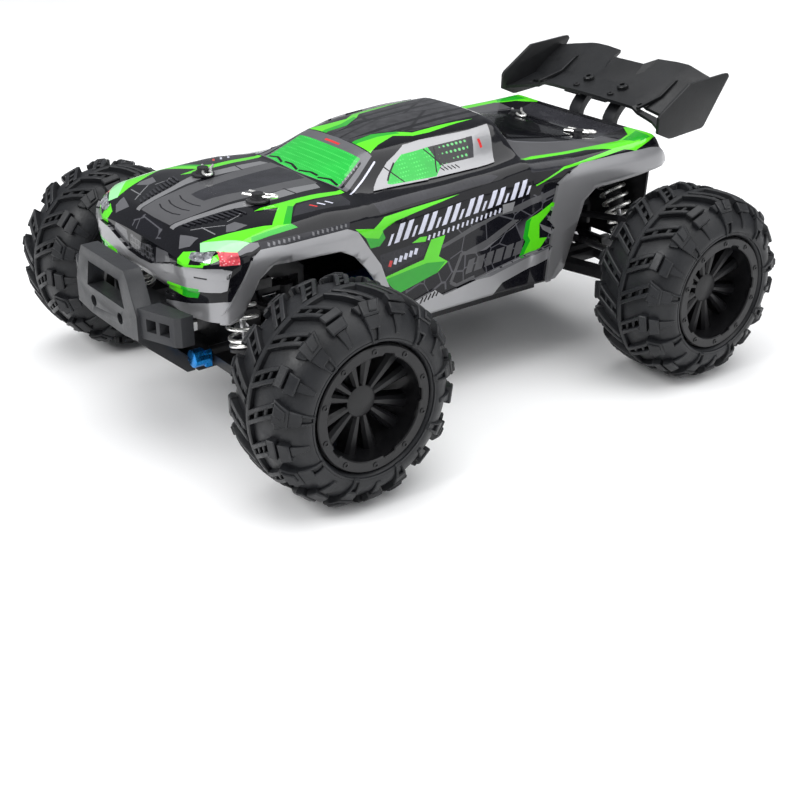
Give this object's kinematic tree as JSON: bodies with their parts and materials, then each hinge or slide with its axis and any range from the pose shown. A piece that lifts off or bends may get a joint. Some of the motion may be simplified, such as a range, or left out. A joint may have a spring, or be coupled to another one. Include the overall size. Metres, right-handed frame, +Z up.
{
  "type": "rc monster truck",
  "caption": "Radio-controlled monster truck with sprung independent suspension, knobbly tyres, painted pickup body shell and rear wing.",
  "frame": {"origin": "centre of the outer box, on the ground plane that the tyres stand on", "axes": "+Z up, -Y towards the nose, +X towards the truck's left side"},
  "size_m": [0.218, 0.2812, 0.1128],
  "materials": {
    "tyre": "matte moulded rubber",
    "rim": "black moulded nylon, satin",
    "chassis_plastic": "black glass-filled nylon, fine grain",
    "bumper_plastic": "black moulded plastic, fine grain",
    "body_paint": "clear shell painted from inside: black with green, grey and silver areas, glossy",
    "spring_wire": "bright plated wire",
    "steel": "turned steel",
    "blue_aluminium": "blue anodised",
    "motor_can": "brushed can",
    "battery_wrap": "shrink wrap",
    "electronics": "satin case",
    "gear_nylon": "nylon gear"
  },
  "bodies": {
    "chassis": {"chassis_plate": "chassis_plastic", "front_bumper": "bumper_plastic", "front_gearbox": "chassis_plastic", "rear_gearbox": "chassis_plastic", "front_shock_tower": "chassis_plastic", "rear_shock_tower": "chassis_plastic", "front_pin_brace": "blue_aluminium", "rear_pin_brace": "blue_aluminium", "motor": "motor_can", "battery_pack": "battery_wrap", "receiver_box": "electronics", "steering_servo": "electronics", "body_shell": "body_paint", "wing": "bumper_plastic", "wing_stay": "bumper_plastic"},
    "centre_drive": {"centre_shaft": "steel", "spur_gear": "gear_nylon"},
    "motor_pinion": {"pinion_gear": "steel"},
    "servo_horn": {"servo_horn": "chassis_plastic"},
    "steering_rack": {"steering_rack": "chassis_plastic"},
    "front_left_arm": {"front_left_lower_arm": "chassis_plastic"},
    "front_left_upright": {"front_left_caster_block": "chassis_plastic"},
    "front_left_wheel": {"front_left_rim": "rim", "front_left_tyre": "tyre"},
    "front_left_driveshaft": {"front_left_driveshaft": "steel"},
    "front_left_link": {"front_left_upper_link": "chassis_plastic"},
    "front_left_shock": {"front_left_shock_body": "chassis_plastic", "front_left_spring": "spring_wire"},
    "front_left_rod": {"front_left_shock_rod": "steel"},
    "front_left_knuckle": {"front_left_knuckle": "chassis_plastic"},
    "front_left_tie_rod": {"front_left_tie_rod": "steel"},
    "front_right_arm": {"front_right_lower_arm": "chassis_plastic"},
    "front_right_upright": {"front_right_caster_block": "chassis_plastic"},
    "front_right_wheel": {"front_right_rim": "rim", "front_right_tyre": "tyre"},
    "front_right_driveshaft": {"front_right_driveshaft": "steel"},
    "front_right_link": {"front_right_upper_link": "chassis_plastic"},
    "front_right_shock": {"front_right_shock_body": "chassis_plastic", "front_right_spring": "spring_wire"},
    "front_right_rod": {"front_right_shock_rod": "steel"},
    "front_right_knuckle": {"front_right_knuckle": "chassis_plastic"},
    "front_right_tie_rod": {"front_right_tie_rod": "steel"},
    "rear_left_arm": {"rear_left_lower_arm": "chassis_plastic"},
    "rear_left_upright": {"rear_left_hub_carrier": "chassis_plastic"},
    "rear_left_wheel": {"rear_left_rim": "rim", "rear_left_tyre": "tyre"},
    "rear_left_driveshaft": {"rear_left_driveshaft": "steel"},
    "rear_left_link": {"rear_left_upper_link": "chassis_plastic"},
    "rear_left_shock": {"rear_left_shock_body": "chassis_plastic", "rear_left_spring": "spring_wire"},
    "rear_left_rod": {"rear_left_shock_rod": "steel"},
    "rear_right_arm": {"rear_right_lower_arm": "chassis_plastic"},
    "rear_right_upright": {"rear_right_hub_carrier": "chassis_plastic"},
    "rear_right_wheel": {"rear_right_rim": "rim", "rear_right_tyre": "tyre"},
    "rear_right_driveshaft": {"rear_right_driveshaft": "steel"},
    "rear_right_link": {"rear_right_upper_link": "chassis_plastic"},
    "rear_right_shock": {"rear_right_shock_body": "chassis_plastic", "rear_right_spring": "spring_wire"},
    "rear_right_rod": {"rear_right_shock_rod": "steel"}
  },
  "joints": [
    {"name": "front_left_suspension", "type": "hinge", "parent": "chassis", "child": "front_left_arm", "pos_m": [0.019, -0.0936, 0.033], "axis": [0, -1, 0], "range_deg": [-8, 10], "stiffness_Nm_per_rad": 1.3, "springref_deg": -4.3},
    {"name": "front_left_upright_pivot", "type": "hinge", "parent": "front_left_arm", "child": "front_left_upright", "pos_m": [0.056, -0.0936, 0.031], "axis": [0, -1, 0], "range_deg": [-7.7, 6.28]},
    {"name": "front_left_steering", "type": "hinge", "parent": "front_left_upright", "child": "front_left_knuckle", "pos_m": [0.064, -0.0936, 0.04], "axis": [0, 0, 1], "range_deg": [-20, 20]},
    {"name": "front_left_wheel_spin", "type": "hinge", "parent": "front_left_knuckle", "child": "front_left_wheel", "pos_m": [0.0875, -0.0936, 0.04], "axis": [1, 0, 0], "continuous": true},
    {"name": "front_left_driveshaft_spin", "type": "hinge", "parent": "front_left_arm", "child": "front_left_driveshaft", "pos_m": [0.036, -0.0936, 0.04], "axis": [1, 0, 0], "continuous": true},
    {"name": "front_left_link_pivot", "type": "hinge", "parent": "chassis", "child": "front_left_link", "pos_m": [0.02, -0.0936, 0.052], "axis": [0, -1, 0], "range_deg": [-9.38, 11.58]},
    {"name": "front_left_shock_pivot", "type": "hinge", "parent": "chassis", "child": "front_left_shock", "pos_m": [0.0335, -0.1056, 0.08], "axis": [0, -1, 0], "range_deg": [-0.68, 0.71]},
    {"name": "front_left_shock_stroke", "type": "slide", "parent": "front_left_shock", "child": "front_left_rod", "axis": [0.2447, 0, -0.9696], "range_m": [-0.00475, 0.00386], "deforming": ["front_left_spring"]},
    {"name": "front_left_tie_rod_pivot", "type": "hinge", "parent": "steering_rack", "child": "front_left_tie_rod", "pos_m": [0.018, -0.076, 0.0444], "axis": [0, -1, 0], "range_deg": [-7.1, 8.73]},
    {"name": "front_right_suspension", "type": "hinge", "parent": "chassis", "child": "front_right_arm", "pos_m": [-0.019, -0.0936, 0.033], "axis": [0, 1, 0], "range_deg": [-8, 10], "stiffness_Nm_per_rad": 1.3, "springref_deg": -4.3},
    {"name": "front_right_upright_pivot", "type": "hinge", "parent": "front_right_arm", "child": "front_right_upright", "pos_m": [-0.056, -0.0936, 0.031], "axis": [0, 1, 0], "range_deg": [-7.7, 6.28]},
    {"name": "front_right_steering", "type": "hinge", "parent": "front_right_upright", "child": "front_right_knuckle", "pos_m": [-0.064, -0.0936, 0.04], "axis": [0, 0, 1], "range_deg": [-20.5, 20.5]},
    {"name": "front_right_wheel_spin", "type": "hinge", "parent": "front_right_knuckle", "child": "front_right_wheel", "pos_m": [-0.0875, -0.0936, 0.04], "axis": [1, 0, 0], "continuous": true},
    {"name": "front_right_driveshaft_spin", "type": "hinge", "parent": "front_right_arm", "child": "front_right_driveshaft", "pos_m": [-0.036, -0.0936, 0.04], "axis": [1, 0, 0], "continuous": true},
    {"name": "front_right_link_pivot", "type": "hinge", "parent": "chassis", "child": "front_right_link", "pos_m": [-0.02, -0.0936, 0.052], "axis": [0, 1, 0], "range_deg": [-9.38, 11.58]},
    {"name": "front_right_shock_pivot", "type": "hinge", "parent": "chassis", "child": "front_right_shock", "pos_m": [-0.0335, -0.1056, 0.08], "axis": [0, 1, 0], "range_deg": [-0.68, 0.71]},
    {"name": "front_right_shock_stroke", "type": "slide", "parent": "front_right_shock", "child": "front_right_rod", "axis": [-0.2447, 0, -0.9696], "range_m": [-0.00475, 0.00386], "deforming": ["front_right_spring"]},
    {"name": "front_right_tie_rod_pivot", "type": "hinge", "parent": "steering_rack", "child": "front_right_tie_rod", "pos_m": [-0.018, -0.076, 0.0444], "axis": [0, 1, 0], "range_deg": [-7.1, 8.73]},
    {"name": "rear_left_suspension", "type": "hinge", "parent": "chassis", "child": "rear_left_arm", "pos_m": [0.019, 0.0824, 0.033], "axis": [0, -1, 0], "range_deg": [-8, 10], "stiffness_Nm_per_rad": 1.5, "springref_deg": -4.87},
    {"name": "rear_left_upright_pivot", "type": "hinge", "parent": "rear_left_arm", "child": "rear_left_upright", "pos_m": [0.056, 0.0824, 0.031], "axis": [0, -1, 0], "range_deg": [-7.7, 6.28]},
    {"name": "rear_left_wheel_spin", "type": "hinge", "parent": "rear_left_upright", "child": "rear_left_wheel", "pos_m": [0.0875, 0.0824, 0.04], "axis": [1, 0, 0], "continuous": true},
    {"name": "rear_left_driveshaft_spin", "type": "hinge", "parent": "rear_left_arm", "child": "rear_left_driveshaft", "pos_m": [0.036, 0.0824, 0.04], "axis": [1, 0, 0], "continuous": true},
    {"name": "rear_left_link_pivot", "type": "hinge", "parent": "chassis", "child": "rear_left_link", "pos_m": [0.02, 0.0824, 0.052], "axis": [0, -1, 0], "range_deg": [-9.38, 11.58]},
    {"name": "rear_left_shock_pivot", "type": "hinge", "parent": "chassis", "child": "rear_left_shock", "pos_m": [0.0245, 0.0944, 0.073], "axis": [0, -1, 0], "range_deg": [-2.08, 2.45]},
    {"name": "rear_left_shock_stroke", "type": "slide", "parent": "rear_left_shock", "child": "rear_left_rod", "axis": [0.491, 0, -0.8712], "range_m": [-0.00459, 0.00373], "deforming": ["rear_left_spring"]},
    {"name": "rear_right_suspension", "type": "hinge", "parent": "chassis", "child": "rear_right_arm", "pos_m": [-0.019, 0.0824, 0.033], "axis": [0, 1, 0], "range_deg": [-8, 10], "stiffness_Nm_per_rad": 1.5, "springref_deg": -4.87},
    {"name": "rear_right_upright_pivot", "type": "hinge", "parent": "rear_right_arm", "child": "rear_right_upright", "pos_m": [-0.056, 0.0824, 0.031], "axis": [0, 1, 0], "range_deg": [-7.7, 6.28]},
    {"name": "rear_right_wheel_spin", "type": "hinge", "parent": "rear_right_upright", "child": "rear_right_wheel", "pos_m": [-0.0875, 0.0824, 0.04], "axis": [1, 0, 0], "continuous": true},
    {"name": "rear_right_driveshaft_spin", "type": "hinge", "parent": "rear_right_arm", "child": "rear_right_driveshaft", "pos_m": [-0.036, 0.0824, 0.04], "axis": [1, 0, 0], "continuous": true},
    {"name": "rear_right_link_pivot", "type": "hinge", "parent": "chassis", "child": "rear_right_link", "pos_m": [-0.02, 0.0824, 0.052], "axis": [0, 1, 0], "range_deg": [-9.38, 11.58]},
    {"name": "rear_right_shock_pivot", "type": "hinge", "parent": "chassis", "child": "rear_right_shock", "pos_m": [-0.0245, 0.0944, 0.073], "axis": [0, 1, 0], "range_deg": [-2.08, 2.45]},
    {"name": "rear_right_shock_stroke", "type": "slide", "parent": "rear_right_shock", "child": "rear_right_rod", "axis": [-0.491, 0, -0.8712], "range_m": [-0.00459, 0.00373], "deforming": ["rear_right_spring"]},
    {"name": "rack_slide", "type": "slide", "parent": "chassis", "child": "steering_rack", "axis": [1, 0, 0], "range_m": [-0.0065, 0.0065]},
    {"name": "servo_horn_turn", "type": "hinge", "parent": "chassis", "child": "servo_horn", "pos_m": [0.009, -0.0676, 0.045], "axis": [0, 0, 1], "range_deg": [-31, 31]},
    {"name": "centre_drive_spin", "type": "hinge", "parent": "chassis", "child": "centre_drive", "pos_m": [0, -0.0056, 0.04], "axis": [0, 1, 0], "continuous": true},
    {"name": "pinion_spin", "type": "hinge", "parent": "chassis", "child": "motor_pinion", "pos_m": [-0.0144, 0.0424, 0.04], "axis": [0, 1, 0], "continuous": true}
  ],
  "couplings": [
    {"joint": "front_left_upright_pivot", "follows": "front_left_suspension", "ratio": -0.71},
    {"joint": "front_left_driveshaft_spin", "follows": "front_left_wheel_spin", "ratio": 1},
    {"joint": "front_left_link_pivot", "follows": "front_left_suspension", "ratio": 1.098},
    {"joint": "front_left_shock_pivot", "follows": "front_left_suspension", "ratio": 0.0106},
    {"joint": "front_left_shock_stroke", "follows": "front_left_suspension", "m_per_rad": -0.02551},
    {"joint": "front_left_tie_rod_pivot", "follows": "front_left_suspension", "ratio": 0.813},
    {"joint": "front_right_upright_pivot", "follows": "front_right_suspension", "ratio": -0.71},
    {"joint": "front_right_driveshaft_spin", "follows": "front_right_wheel_spin", "ratio": 1},
    {"joint": "front_right_link_pivot", "follows": "front_right_suspension", "ratio": 1.098},
    {"joint": "front_right_shock_pivot", "follows": "front_right_suspension", "ratio": 0.0106},
    {"joint": "front_right_shock_stroke", "follows": "front_right_suspension", "m_per_rad": -0.02551},
    {"joint": "front_right_tie_rod_pivot", "follows": "front_right_suspension", "ratio": 0.813},
    {"joint": "rear_left_upright_pivot", "follows": "rear_left_suspension", "ratio": -0.71},
    {"joint": "rear_left_driveshaft_spin", "follows": "rear_left_wheel_spin", "ratio": 1},
    {"joint": "rear_left_link_pivot", "follows": "rear_left_suspension", "ratio": 1.098},
    {"joint": "rear_left_shock_pivot", "follows": "rear_left_suspension", "ratio": 0.1846},
    {"joint": "rear_left_shock_stroke", "follows": "rear_left_suspension", "m_per_rad": -0.02458},
    {"joint": "rear_right_upright_pivot", "follows": "rear_right_suspension", "ratio": -0.71},
    {"joint": "rear_right_driveshaft_spin", "follows": "rear_right_wheel_spin", "ratio": 1},
    {"joint": "rear_right_link_pivot", "follows": "rear_right_suspension", "ratio": 1.098},
    {"joint": "rear_right_shock_pivot", "follows": "rear_right_suspension", "ratio": 0.1846},
    {"joint": "rear_right_shock_stroke", "follows": "rear_right_suspension", "m_per_rad": -0.02458},
    {"joint": "front_right_steering", "follows": "front_left_steering", "ratio": 1},
    {"joint": "rack_slide", "follows": "front_left_steering", "m_per_rad": -0.0176},
    {"joint": "servo_horn_turn", "follows": "front_left_steering", "ratio": -1.517},
    {"joint": "pinion_spin", "follows": "centre_drive_spin", "ratio": -3}
  ]
}
